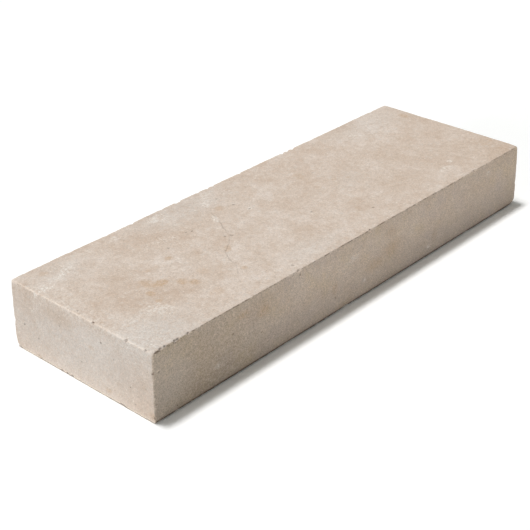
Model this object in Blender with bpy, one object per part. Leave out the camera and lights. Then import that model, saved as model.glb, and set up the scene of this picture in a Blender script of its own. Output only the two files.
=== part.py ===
"""Limestone block step: one solid block of sawn and tumbled limestone, lying on its bed.

X runs along the riser, Y from the riser to the back, Z up. The origin is the
middle of the bed, so the block stands on Z = 0. All sizes are in metres.
"""

import math
import random
from typing import NamedTuple

import bmesh
import bpy
from mathutils import Matrix, Vector

# The block
LENGTH = 1.200
WIDTH = 0.400
HEIGHT = 0.150

# Radius that tumbling has worn on each arris, by the two faces that meet there, named in
# alphabetical order as everywhere below
ARRIS_RADIUS = {
    ("riser", "tread"): 0.0024,
    ("back", "tread"): 0.0030,
    ("left", "tread"): 0.0022,
    ("right", "tread"): 0.0030,
    ("left", "riser"): 0.0028,
    ("right", "riser"): 0.0034,
    ("back", "left"): 0.0030,
    ("back", "right"): 0.0038,
    ("bed", "riser"): 0.0028,
    ("back", "bed"): 0.0036,
    ("bed", "left"): 0.0026,
    ("bed", "right"): 0.0034,
}

# Radius of each knocked corner, by the three faces that meet there
CORNER_RADIUS = {
    ("left", "riser", "tread"): 0.0055,
    ("back", "left", "tread"): 0.0045,
    ("right", "riser", "tread"): 0.0062,
    ("back", "right", "tread"): 0.0046,
    ("bed", "left", "riser"): 0.0046,
    ("back", "bed", "left"): 0.0088,
    ("bed", "right", "riser"): 0.0050,
    ("back", "bed", "right"): 0.0080,
}
CORNER_REACH = 0.036  # how far along an arris a corner's wear is felt

# Slow wander of the wear along an arris
WANDER_DEPTH = 0.0009
WANDER_LONG_WAVE = 0.310
WANDER_SHORT_WAVE = 0.120
SHORT_WAVE_SHARE = 0.4

# Mesh rows
ARC_STEPS = 2  # facets from the middle of an arris to each of its faces
EDGE_BAND = 0.010  # rows this close to a face's edge belong to its arris
FIRST_ROW = 0.025  # the first row clear of a corner
ROW_PITCH = 0.030
CLOSE = 1e-5

# Broken edges of a spall
SPALL_BULGE = 1.6  # a scoop's radius across the arris, in spall depths
SPALL_ROUGHNESS = 0.10
SPALL_SEED = 7

STONE_COLOUR = (0.62, 0.53, 0.45, 1.0)
STONE_ROUGHNESS = 0.85

HALF = Vector((LENGTH / 2, WIDTH / 2, HEIGHT / 2))
MIDDLE = Vector((0.0, 0.0, HEIGHT / 2))

# The way each face looks
FACES = {"left": "-X", "right": "+X", "riser": "-Y", "back": "+Y", "bed": "-Z", "tread": "+Z"}


class Bruise(NamedTuple):
    """A long knock that has worn an arris further down."""

    arris: tuple
    from_face: str
    distance: float
    length: float
    extra_radius: float


class Spall(NamedTuple):
    """A chip broken out of an arris. Its lean is 0 towards the arris's first face and 90 towards its second."""

    arris: tuple
    from_face: str
    distance: float
    length: float
    depth: float
    lean: float


BRUISES = (
    Bruise(("riser", "tread"), "left", 0.070, 0.130, 0.0014),
    Bruise(("riser", "tread"), "left", 0.390, 0.150, 0.0010),
    Bruise(("riser", "tread"), "right", 0.180, 0.160, 0.0011),
    Bruise(("left", "tread"), "riser", 0.085, 0.130, 0.0012),
    Bruise(("back", "tread"), "left", 0.260, 0.180, 0.0021),
    Bruise(("back", "tread"), "right", 0.210, 0.140, 0.0018),
    Bruise(("bed", "riser"), "left", 0.546, 0.150, 0.0018),
    Bruise(("bed", "left"), "back", 0.110, 0.120, 0.0016),
    Bruise(("back", "bed"), "left", 0.420, 0.200, 0.0020),
    Bruise(("right", "tread"), "back", 0.130, 0.120, 0.0016),
)

SPALLS = (
    Spall(("riser", "tread"), "left", 0.027, 0.020, 0.0027, 30),
    Spall(("riser", "tread"), "left", 0.062, 0.014, 0.0023, 35),
    Spall(("riser", "tread"), "left", 0.093, 0.015, 0.0023, 50),
    Spall(("riser", "tread"), "left", 0.261, 0.015, 0.0019, 60),
    Spall(("riser", "tread"), "left", 0.398, 0.016, 0.0025, 30),
    Spall(("riser", "tread"), "right", 0.576, 0.020, 0.0019, 55),
    Spall(("riser", "tread"), "right", 0.188, 0.015, 0.0025, 35),
    Spall(("riser", "tread"), "right", 0.127, 0.014, 0.0018, 60),
    Spall(("left", "tread"), "back", 0.128, 0.012, 0.0018, 50),
    Spall(("left", "tread"), "riser", 0.157, 0.014, 0.0023, 40),
    Spall(("left", "tread"), "riser", 0.068, 0.015, 0.0025, 45),
    Spall(("left", "tread"), "riser", 0.018, 0.010, 0.0019, 50),
    Spall(("left", "riser"), "tread", 0.047, 0.012, 0.0019, 45),
    Spall(("left", "riser"), "bed", 0.032, 0.014, 0.0021, 60),
    Spall(("back", "left"), "bed", 0.060, 0.019, 0.0025, 60),
    Spall(("back", "left"), "tread", 0.040, 0.012, 0.0019, 50),
    Spall(("bed", "left"), "riser", 0.090, 0.017, 0.0024, 55),
    Spall(("bed", "left"), "back", 0.140, 0.014, 0.0021, 60),
    Spall(("bed", "riser"), "left", 0.057, 0.014, 0.0023, 60),
    Spall(("bed", "riser"), "left", 0.546, 0.025, 0.0033, 50),
    Spall(("bed", "riser"), "right", 0.210, 0.019, 0.0025, 50),
    Spall(("right", "riser"), "bed", 0.055, 0.017, 0.0023, 40),
    Spall(("back", "tread"), "left", 0.150, 0.022, 0.0027, 40),
    Spall(("back", "tread"), "left", 0.405, 0.017, 0.0023, 45),
    Spall(("back", "tread"), "right", 0.300, 0.020, 0.0025, 35),
    Spall(("right", "tread"), "riser", 0.120, 0.015, 0.0023, 40),
    Spall(("back", "right"), "bed", 0.055, 0.017, 0.0024, 50),
    Spall(("back", "bed"), "right", 0.260, 0.022, 0.0029, 50),
    Spall(("bed", "right"), "back", 0.150, 0.015, 0.0023, 45),
)


def clear_scene():
    for obj in list(bpy.data.objects):
        bpy.data.objects.remove(obj)


def new_collection(name):
    collection = bpy.data.collections.new(name)
    bpy.context.scene.collection.children.link(collection)
    return collection


def limestone():
    """Pale, matt stone with the colour of the worn faces."""
    material = bpy.data.materials.new("worn_limestone")
    material.use_nodes = True
    shader = material.node_tree.nodes["Principled BSDF"]
    shader.inputs["Base Color"].default_value = STONE_COLOUR
    shader.inputs["Roughness"].default_value = STONE_ROUGHNESS
    shader.inputs["Metallic"].default_value = 0.0
    return material


def axis_and_side(face):
    """A face's axis as an index, and its side of the block as -1 or 1."""
    sign, letter = FACES[face]
    return "XYZ".index(letter), (1 if sign == "+" else -1)


def normal(face):
    axis, side = axis_and_side(face)
    direction = Vector()
    direction[axis] = side
    return direction


def arris_axis(arris):
    """The axis that an arris runs along: the one that neither of its faces has."""
    return ({0, 1, 2} - {axis_and_side(face)[0] for face in arris}).pop()


def ends_of(arris):
    """The two faces at the ends of an arris."""
    return [face for face in FACES if axis_and_side(face)[0] == arris_axis(arris)]


def distance_from(face, point):
    """How far a point is from a face, into the block."""
    axis, side = axis_and_side(face)
    return HALF[axis] - side * point[axis]


def wander(arris, along):
    """The slow change of an arris's radius along it, different on each arris."""
    phase = 2.4 * list(ARRIS_RADIUS).index(arris)
    long_wave = math.sin(2 * math.pi * along / WANDER_LONG_WAVE + phase)
    short_wave = math.sin(2 * math.pi * along / WANDER_SHORT_WAVE + 1.7 * phase)
    return WANDER_DEPTH * ((1 - SHORT_WAVE_SHARE) * long_wave + SHORT_WAVE_SHARE * short_wave)


def bruising(arris, point):
    """The radius that the bruises on an arris add at a point."""
    added = 0.0
    for bruise in BRUISES:
        if bruise.arris != arris:
            continue
        offset = abs(distance_from(bruise.from_face, point) - bruise.distance)
        if offset < bruise.length / 2:
            added += bruise.extra_radius * math.cos(math.pi * offset / bruise.length) ** 2
    return added


def arris_radius(arris, point):
    """The worn radius of an arris at a point beside it, which runs into its corners' radii."""
    along = distance_from(ends_of(arris)[0], point)
    radius = ARRIS_RADIUS[arris] + wander(arris, along) + bruising(arris, point)
    for end in ends_of(arris):
        felt = max(0.0, 1 - distance_from(end, point) / CORNER_REACH) ** 2
        corner = CORNER_RADIUS[tuple(sorted((*arris, end)))]
        radius += felt * (corner - radius)
    return radius


def faces_beside(point):
    """The faces whose edge band a point lies in, each with its share of the band, 0 on the face."""
    shares = {face: distance_from(face, point) / EDGE_BAND for face in FACES}
    return {face: min(1.0, share) for face, share in shares.items() if share < 1 + CLOSE}


def worn(point):
    """Where tumbling has left a point of the sharp block, measured from its middle."""
    beside = faces_beside(point)
    if len(beside) < 2:
        return point
    key = tuple(sorted(beside))
    radius = CORNER_RADIUS[key] if len(key) == 3 else arris_radius(key, point)
    centre = point.copy()
    outward = Vector()
    for face, share in beside.items():
        axis, side = axis_and_side(face)
        centre[axis] = side * (HALF[axis] - radius)
        outward[axis] = side * (1 - share)
    return centre + radius * outward.normalized()


def rows(axis):
    """The planes that divide the sharp block along an axis: its arris rows, then an even pitch."""
    half = HALF[axis]
    angles = [math.pi / 4 * (1 - step / ARC_STEPS) for step in range(1, ARC_STEPS + 1)]
    from_edge = [EDGE_BAND * (1 - math.tan(angle)) for angle in angles] + [FIRST_ROW]
    inner = 2 * (half - FIRST_ROW)
    count = max(1, round(inner / ROW_PITCH))
    between = [FIRST_ROW - half + inner * step / count for step in range(1, count)]
    return [d - half for d in from_edge] + between + [half - d for d in from_edge]


def divide(mesh):
    """Cuts the block along every row, so that its arrises can wander."""
    for axis in range(3):
        for place in rows(axis):
            on_plane = Vector()
            on_plane[axis] = place
            across = Vector()
            across[axis] = 1
            everything = mesh.verts[:] + mesh.edges[:] + mesh.faces[:]
            bmesh.ops.bisect_plane(mesh, geom=everything, dist=CLOSE, plane_co=on_plane, plane_no=across)


def make_block(collection):
    """The sawn block with its worn arrises and knocked corners. Its six faces stay flat."""
    mesh = bmesh.new()
    bmesh.ops.create_cube(mesh, size=1, matrix=Matrix.Diagonal((LENGTH, WIDTH, HEIGHT, 1)))
    divide(mesh)
    for vertex in mesh.verts:
        vertex.co = worn(vertex.co.copy()) + MIDDLE
    data = bpy.data.meshes.new("step_block")
    mesh.to_mesh(data)
    mesh.free()
    data.materials.append(limestone())
    data.shade_smooth()
    data.set_sharp_from_angle(angle=math.radians(30))
    block = bpy.data.objects.new("step_block", data)
    collection.objects.link(block)
    return block


def spall_matrix(spall):
    """Places a ball of radius 1 as a spall's scoop, which bites the arris to its length and depth."""
    first, second = (normal(face) for face in spall.arris)
    lean = math.radians(spall.lean)
    outward = math.cos(lean) * first + math.sin(lean) * second
    along = first.cross(second)
    across = outward.cross(along)
    end_axis, end_side = axis_and_side(spall.from_face)
    place = Vector()
    place[end_axis] = end_side * (HALF[end_axis] - spall.distance)
    radius = arris_radius(spall.arris, place)
    for face in spall.arris:
        axis, side = axis_and_side(face)
        place[axis] = side * (HALF[axis] - radius)
    reach = SPALL_BULGE * spall.depth
    centre = place + (radius + reach - spall.depth) * outward + MIDDLE
    chord_share = math.sqrt(1 - (1 - 1 / SPALL_BULGE) ** 2)
    half_length = spall.length / 2 / chord_share
    axes = Matrix((half_length * along, reach * across, reach * outward)).transposed()
    return Matrix.Translation(centre) @ axes.to_4x4()


def make_spall_cutter(collection):
    """One mesh of rough scoops, one for each spall. Their facets are the broken stone's faces."""
    mesh = bmesh.new()
    chance = random.Random(SPALL_SEED)
    for spall in SPALLS:
        ball = bmesh.ops.create_icosphere(mesh, subdivisions=2, radius=1)["verts"]
        for vertex in ball:
            vertex.co *= 1 + chance.uniform(-SPALL_ROUGHNESS, SPALL_ROUGHNESS)
        bmesh.ops.transform(mesh, matrix=spall_matrix(spall), verts=ball)
    bmesh.ops.recalc_face_normals(mesh, faces=mesh.faces)
    data = bpy.data.meshes.new("spall_scoops")
    mesh.to_mesh(data)
    mesh.free()
    cutter = bpy.data.objects.new("spall_scoops", data)
    cutter.hide_render = True
    cutter.display_type = "WIRE"
    collection.objects.link(cutter)
    return cutter


def cut(block, cutter):
    spalling = block.modifiers.new("spalls", "BOOLEAN")
    spalling.operation = "DIFFERENCE"
    spalling.object = cutter


def main():
    clear_scene()
    block = make_block(new_collection("limestone_block_step"))
    cut(block, make_spall_cutter(new_collection("cutters")))


main()
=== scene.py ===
"""Dresses the limestone block step: its tumbled stone, a white studio floor, soft light and the camera."""

import logging
import math
from dataclasses import asdict, dataclass
from enum import Enum

import bmesh
import bpy
from mathutils import Matrix, Vector


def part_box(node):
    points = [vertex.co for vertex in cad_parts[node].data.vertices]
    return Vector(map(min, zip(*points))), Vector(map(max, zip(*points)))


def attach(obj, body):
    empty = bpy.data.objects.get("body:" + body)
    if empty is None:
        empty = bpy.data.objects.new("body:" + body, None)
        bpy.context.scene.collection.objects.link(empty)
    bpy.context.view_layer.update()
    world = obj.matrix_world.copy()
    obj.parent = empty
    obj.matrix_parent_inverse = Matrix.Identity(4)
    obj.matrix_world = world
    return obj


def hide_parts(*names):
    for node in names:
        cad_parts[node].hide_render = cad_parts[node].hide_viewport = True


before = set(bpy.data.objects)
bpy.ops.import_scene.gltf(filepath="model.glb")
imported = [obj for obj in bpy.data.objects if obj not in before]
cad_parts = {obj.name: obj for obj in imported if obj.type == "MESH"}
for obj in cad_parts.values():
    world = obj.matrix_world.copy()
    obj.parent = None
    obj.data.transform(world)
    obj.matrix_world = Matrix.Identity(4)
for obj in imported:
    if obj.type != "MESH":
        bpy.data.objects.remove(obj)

LOG = logging.getLogger("block_step")
MM = 0.001
CAD_NODE = "step_block"
BODY = "root"
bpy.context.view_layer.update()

# The planes of the three faces that the photograph shows, in metres
TREAD = 0.150
RISER = -0.200
LEFT_END = -0.600

# A patch of the tread that reaches no further than this keeps its strength almost to its rim
CRISP_REACH = 0.050
CRISP_RIM = 0.60
SOFT_RIM = 0.20

# The pores' pattern, which the relief and the colour share
PORE_FILL = 0.15
PORE_SEED = 8.7

Socket = bpy.types.NodeSocket
Sockets = bpy.types.bpy_prop_collection
Tree = bpy.types.NodeTree
Value = Socket | float
Triple = tuple[float, float, float]

MATH = "ShaderNodeMath"
VECTOR = "ShaderNodeVectorMath"
RANGE = "ShaderNodeMapRange"
SEPARATE_COLOUR = {"GEOMETRY": "FunctionNodeSeparateColor", "SHADER": "ShaderNodeSeparateColor"}


class Kind(Enum):
    """A kind of node that works out a value: its type, and what its operation or easing is set to."""

    PLUS = (MATH, "ADD")
    MINUS = (MATH, "SUBTRACT")
    TIMES = (MATH, "MULTIPLY")
    TIMES_PLUS = (MATH, "MULTIPLY_ADD")
    OVER = (MATH, "DIVIDE")
    POWER = (MATH, "POWER")
    SIZE = (MATH, "ABSOLUTE")
    LEAST = (MATH, "MINIMUM")
    MOST = (MATH, "MAXIMUM")
    BELOW = (MATH, "LESS_THAN")
    EASED = (RANGE, "SMOOTHSTEP")
    VECTOR_PLUS = (VECTOR, "ADD")
    VECTOR_MINUS = (VECTOR, "SUBTRACT")
    VECTOR_TIMES_PLUS = (VECTOR, "MULTIPLY_ADD")
    VECTOR_SIZE = (VECTOR, "ABSOLUTE")
    SCALED = (VECTOR, "SCALE")
    DOT = (VECTOR, "DOT_PRODUCT")
    DISTANCE = (VECTOR, "DISTANCE")
    LENGTH = (VECTOR, "LENGTH")


def linear(colour: str) -> tuple[float, float, float, float]:
    """Turns an sRGB hex colour into linear light.

    Args:
        colour: Six hex digits.

    Returns:
        Red, green, blue and an alpha of 1.
    """
    levels = [int(colour[i : i + 2], 16) / 255 for i in (0, 2, 4)]
    red, green, blue = (c / 12.92 if c <= 0.04045 else ((c + 0.055) / 1.055) ** 2.4 for c in levels)
    return (red, green, blue, 1.0)


def add(tree: Tree, kind: Kind | str, inputs: dict | tuple = (), **settings: str) -> Sockets:
    """Adds a node to a tree.

    Args:
        tree: The tree.
        kind: Its kind, or its type's name.
        inputs: What its first sockets are set to or linked from, or a dict of that by name or number.
        settings: The node's own properties.

    Returns:
        The new node's outputs.
    """
    if isinstance(kind, Kind):
        kind, value = kind.value
        settings["interpolation_type" if kind == RANGE else "operation"] = value
    node = tree.nodes.new(kind)
    for name, value in settings.items():
        setattr(node, name, value)
    for key, value in inputs.items() if isinstance(inputs, dict) else enumerate(inputs):
        if isinstance(value, Socket):
            tree.links.new(value, node.inputs[key])
        else:
            node.inputs[key].default_value = value
    return node.outputs


def noise(
    tree: Tree, place: Socket, size: Value, seed: Value, detail: float = 2.0, roughness: float = 0.6
) -> Sockets:
    """Adds noise of a real size.

    Args:
        tree: The tree.
        place: The position that it reads.
        size: The size of its largest features, in metres.
        seed: Its seed.
        detail: How many finer layers it has.
        roughness: The strength of each finer layer, as a share of the one before.

    Returns:
        A value around 0.5 as output 0, and three such values as output 1.
    """
    scale = add(tree, Kind.OVER, (1.0, size))[0]
    return add(
        tree,
        "ShaderNodeTexNoise",
        {"Vector": place, "W": seed, "Scale": scale, "Detail": detail, "Roughness": roughness},
        noise_dimensions="4D",
    )


def shaken(
    tree: Tree, place: Socket, size: Value, seed: Value, detail: float, roughness: float, reach: float
) -> Socket:
    """Moves a place about at random, so that what is drawn there gets ragged rims.

    Args:
        tree: The tree.
        place: The position.
        size: The size of the rags, in metres.
        seed: Moves the pattern.
        detail: How many finer layers it has.
        roughness: The strength of each finer layer, as a share of the one before.
        reach: How far it moves in all, in metres.

    Returns:
        The moved position.
    """
    colour = noise(tree, place, size, seed, detail, roughness)[1]
    x, y, z, *_ = add(tree, SEPARATE_COLOUR[tree.type], (colour,))
    shake = add(tree, "ShaderNodeCombineXYZ", (x, y, z))[0]
    off = add(tree, Kind.VECTOR_MINUS, (shake, (0.5, 0.5, 0.5)))[0]
    return add(tree, Kind.VECTOR_TIMES_PLUS, (off, (reach, reach, reach), place))[0]


def scattered(tree: Tree, place: Socket, spacing: Value, share: Value, fill: float, seed: float) -> Socket:
    """Scatters ragged round spots of random size through the stone.

    Args:
        tree: The tree.
        place: The position that they read.
        spacing: The mean distance from one to the next, in metres.
        share: How many of the places have one.
        fill: The largest radius, as a share of the spacing.
        seed: Moves the pattern.

    Returns:
        1 in the middle of a spot, down to 0 at its rim.
    """
    scale = add(tree, Kind.OVER, (1.0, spacing))[0]
    scaled = add(tree, Kind.SCALED, {0: place, "Scale": scale})[0]
    moved = add(tree, Kind.VECTOR_PLUS, (scaled, (seed, 2 * seed, 3 * seed)))[0]
    rag = add(tree, "ShaderNodeTexNoise", {"Vector": moved, "Scale": 2.3, "Detail": 2.0})[0]
    shove = add(tree, Kind.SCALED, {0: (0.9, -0.7, 0.8), "Scale": rag})[0]
    ragged = add(tree, Kind.VECTOR_PLUS, (moved, shove))[0]
    cells = add(tree, "ShaderNodeTexVoronoi", {"Vector": ragged, "Scale": 1.0}, feature="F1")
    pick, grade, *_ = add(tree, SEPARATE_COLOUR[tree.type], (cells["Color"],))
    chosen = add(tree, Kind.BELOW, (pick, share))[0]
    radius = add(tree, "ShaderNodeMapRange", {"Value": grade, "To Min": 0.35 * fill, "To Max": fill})[0]
    inside = add(tree, Kind.EASED, (cells["Distance"], 0.0, radius, 1.0, 0.0))[0]
    return add(tree, Kind.TIMES, (chosen, inside))[0]


def near_arris(tree: Tree, place: Socket, middle: Socket, half: Socket, reach: Socket) -> Socket:
    """Says how near a point is to an arris of the block.

    Args:
        tree: The tree.
        place: The point's position.
        middle: The block's middle.
        half: Half the block's size.
        reach: How far from an arris is still near it, in metres.

    Returns:
        1 on an arris, down to 0 at the reach.
    """
    off = add(tree, Kind.VECTOR_MINUS, (place, middle))[0]
    size = add(tree, Kind.VECTOR_SIZE, (off,))[0]
    left = add(tree, Kind.VECTOR_MINUS, (half, size))[0]
    x, y, z = add(tree, "ShaderNodeSeparateXYZ", (left,))
    low = add(tree, Kind.LEAST, (x, y))[0]
    high = add(tree, Kind.MOST, (x, y))[0]
    third = add(tree, Kind.LEAST, (high, z))[0]
    second = add(tree, Kind.MOST, (low, third))[0]
    return add(tree, Kind.EASED, (second, 0.0, reach, 1.0, 0.0))[0]


def new_object(name: str, mesh: bpy.types.Mesh) -> bpy.types.Object:
    """Puts a mesh in the scene.

    Args:
        name: The object's name.
        mesh: Its mesh, already in place.

    Returns:
        The object, at the origin.
    """
    made = bpy.data.objects.new(name, mesh)
    bpy.context.scene.collection.objects.link(made)
    return made


def baked(source: bpy.types.Object, name: str) -> bpy.types.Mesh:
    """Turns an object and its modifiers into a plain mesh.

    Args:
        source: The object.
        name: The new mesh's name.

    Returns:
        The mesh, with no modifier.
    """
    graph = bpy.context.evaluated_depsgraph_get()
    mesh = bpy.data.meshes.new_from_object(source.evaluated_get(graph))
    mesh.name = name
    return mesh


class Tint(Enum):
    """What a part of the stone is stained with, and the painted light and shade that some parts get, as the
    colour that each leans to.
    """

    OCHRE = "C4A78A"
    CALCITE = "EFE8E1"
    GREY = "D6CFC9"
    UMBER = "BDA58F"
    # Painted bounce light along the left end's foot
    PEACH = "EADDD1"
    # Dark specks, and painted shade on the riser's left part and left foot
    SHADE = "A2927D"
    # Painted warm shade: the riser leans to a warmer, more even colour for the light that it gets
    RISER = "D2BEAB"
    # Painted shade that darkens the riser towards its foot
    FOOT = "EEEEEE"
    # Painted cool shade along the riser's foot
    MAUVE = "B4A79F"
    STRAW = "D2BDA0"
    ASH = "CCBBB0"
    VEIN = "E6DDD3"
    # Painted highlight on the left end's upper arris, and painted bounce light at its foot
    RUBBED = "F3E5D6"
    # Soil in flecks, pores, the fissure and the nicks, and painted shade along the riser's upper arris and
    # foot and in its nicks and chips
    SOIL = "4F3D2C"
    HOLLOW = "675749"


@dataclass(frozen=True)
class Pit:
    """An opened pore or a nick, with its place on the block's surface and its radius, in metres."""

    place: Triple
    radius: float


@dataclass(frozen=True)
class Knock:
    """A knocked corner: where it stood, which way its break looks, and how deep the break is, in metres."""

    corner: Triple
    looks: Triple
    depth: float


@dataclass(frozen=True)
class Patch:
    """A soft, ragged patch of a tint, as an ellipsoid in metres turned about Z."""

    tint: Tint
    place: Triple
    reach: Triple
    strength: float
    turn: float = 0.0

    @property
    def rim(self) -> float:
        """How far out it keeps its strength, as a share of its reach."""
        crisp = self.place[2] == TREAD and max(self.reach) <= CRISP_REACH
        return CRISP_RIM if crisp else SOFT_RIM


@dataclass(frozen=True)
class Flecks:
    """Small ragged flecks of a tint, which gather in parts of the stone. Sizes in metres."""

    tint: Tint
    spacing: float
    fill: float
    share: float
    strength: float
    zone: float
    seed: float


# The hairline fissure across the tread, as x and y
FISSURE_PATH = (
    (-0.138, 0.104), (-0.150, 0.071), (-0.166, 0.044), (-0.186, 0.006), (-0.207, -0.016),
    (-0.243, -0.038), (-0.258, -0.062), (-0.268, -0.092), (-0.290, -0.117),
)

# The larger pits that the photograph shows
TREAD_PITS = tuple(
    Pit((x, y, TREAD), radius * MM)
    for x, y, radius in (
        (-0.196, -0.177, 3.9), (0.112, -0.140, 3.4), (-0.308, 0.060, 3.1), (-0.224, 0.076, 2.9),
        (-0.236, 0.081, 2.6), (-0.077, 0.096, 3.6), (-0.080, 0.144, 3.1), (-0.068, 0.056, 3.1),
        (0.008, -0.053, 3.6), (-0.182, 0.001, 4.4), (-0.194, 0.008, 3.6), (-0.590, 0.010, 2.4),
    )
)

END_PITS = tuple(
    Pit((LEFT_END, y, z), radius * MM)
    for y, z, radius in (
        (0.165, 0.062, 2.9), (0.124, 0.047, 2.4), (0.057, 0.102, 2.1), (-0.062, 0.115, 2.9),
        (-0.003, 0.048, 2.6), (-0.095, 0.093, 2.2), (-0.138, 0.052, 2.4), (-0.150, 0.020, 2.1),
        (0.128, 0.006, 1.9),
    )
)

RISER_PITS = tuple(
    Pit((x, RISER, z), radius * MM)
    for x, z, radius in (
        (-0.585, 0.105, 2.8), (-0.393, 0.093, 2.8), (-0.313, 0.060, 2.8), (-0.543, 0.012, 2.4),
        (-0.087, 0.037, 3.0), (-0.200, 0.139, 3.0), (0.300, 0.083, 2.6),
    )
)

# Nicks and chips in an arris stand this far inside both of its faces, because the arris is worn round
NICK_INSET = 1.4 * MM
NICKED_TREAD = TREAD - NICK_INSET
NICKED_BED = NICK_INSET
NICKED_RISER = RISER + NICK_INSET
NICKED_BACK = -RISER - NICK_INSET
NICKED_END = LEFT_END + NICK_INSET

# Nicks in the arrises, painted dark with soil and painted shade
ARRIS_NICKS = (
    Pit((-0.588, NICKED_RISER, NICKED_TREAD - 1 * MM), 2.8 * MM),
    *(
        Pit((x, NICKED_RISER, NICKED_TREAD), radius * MM)
        for x, radius in (
            (-0.577, 4.4), (-0.566, 4.2), (-0.541, 5.0), (-0.534, 4.0), (-0.508, 4.0),
            (-0.202, 3.6), (0.026, 3.6), (0.260, 3.0), (0.413, 4.0),
        )
    ),
    Pit((-0.054, NICKED_RISER, 0.002), 5.0 * MM),
    Pit((-0.030, NICKED_RISER, 0.001), 5.0 * MM),
    Pit((NICKED_END, NICKED_RISER, 0.106), 3.6 * MM),
    Pit((NICKED_END, NICKED_RISER, 0.012), 3.0 * MM),
    Pit((NICKED_END, -0.042, NICKED_TREAD), 4.0 * MM),
    Pit((NICKED_END, -0.131, NICKED_TREAD), 3.2 * MM),
    Pit((NICKED_END, -0.182, NICKED_TREAD), 3.4 * MM),
)

# Chips that hold no soil, along the back arris of the tread and the foot of the left end
CLEAN_CHIPS = (
    *(
        Pit((x, NICKED_BACK, NICKED_TREAD), radius * MM)
        for x, radius in (
            (-0.355, 5.8), (-0.282, 7.5), (-0.151, 7.8), (-0.143, 7.2), (-0.084, 5.8),
            (-0.055, 6.7), (-0.038, 6.7), (0.050, 6.4), (0.198, 8.1), (0.215, 7.2),
            (0.234, 8.7), (0.537, 6.4),
        )
    ),
    *(
        Pit((NICKED_END, y, NICKED_BED), radius * MM)
        for y, radius in (
            (0.122, 4.9), (0.058, 5.1), (0.044, 5.9), (0.030, 6.8), (-0.116, 5.1),
        )
    ),
)

# The corners that are broken off further down
KNOCKED_CORNERS = (
    Knock((-LEFT_END, RISER, 0.0), (0.55, -1.0, -1.0), 7.5 * MM),
    Knock((LEFT_END, -RISER, 0.0), (-1.0, 0.60, -1.0), 6.6 * MM),
    Knock((LEFT_END, RISER, TREAD), (-1.0, -1.0, 1.0), 5.8 * MM),
)

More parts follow.
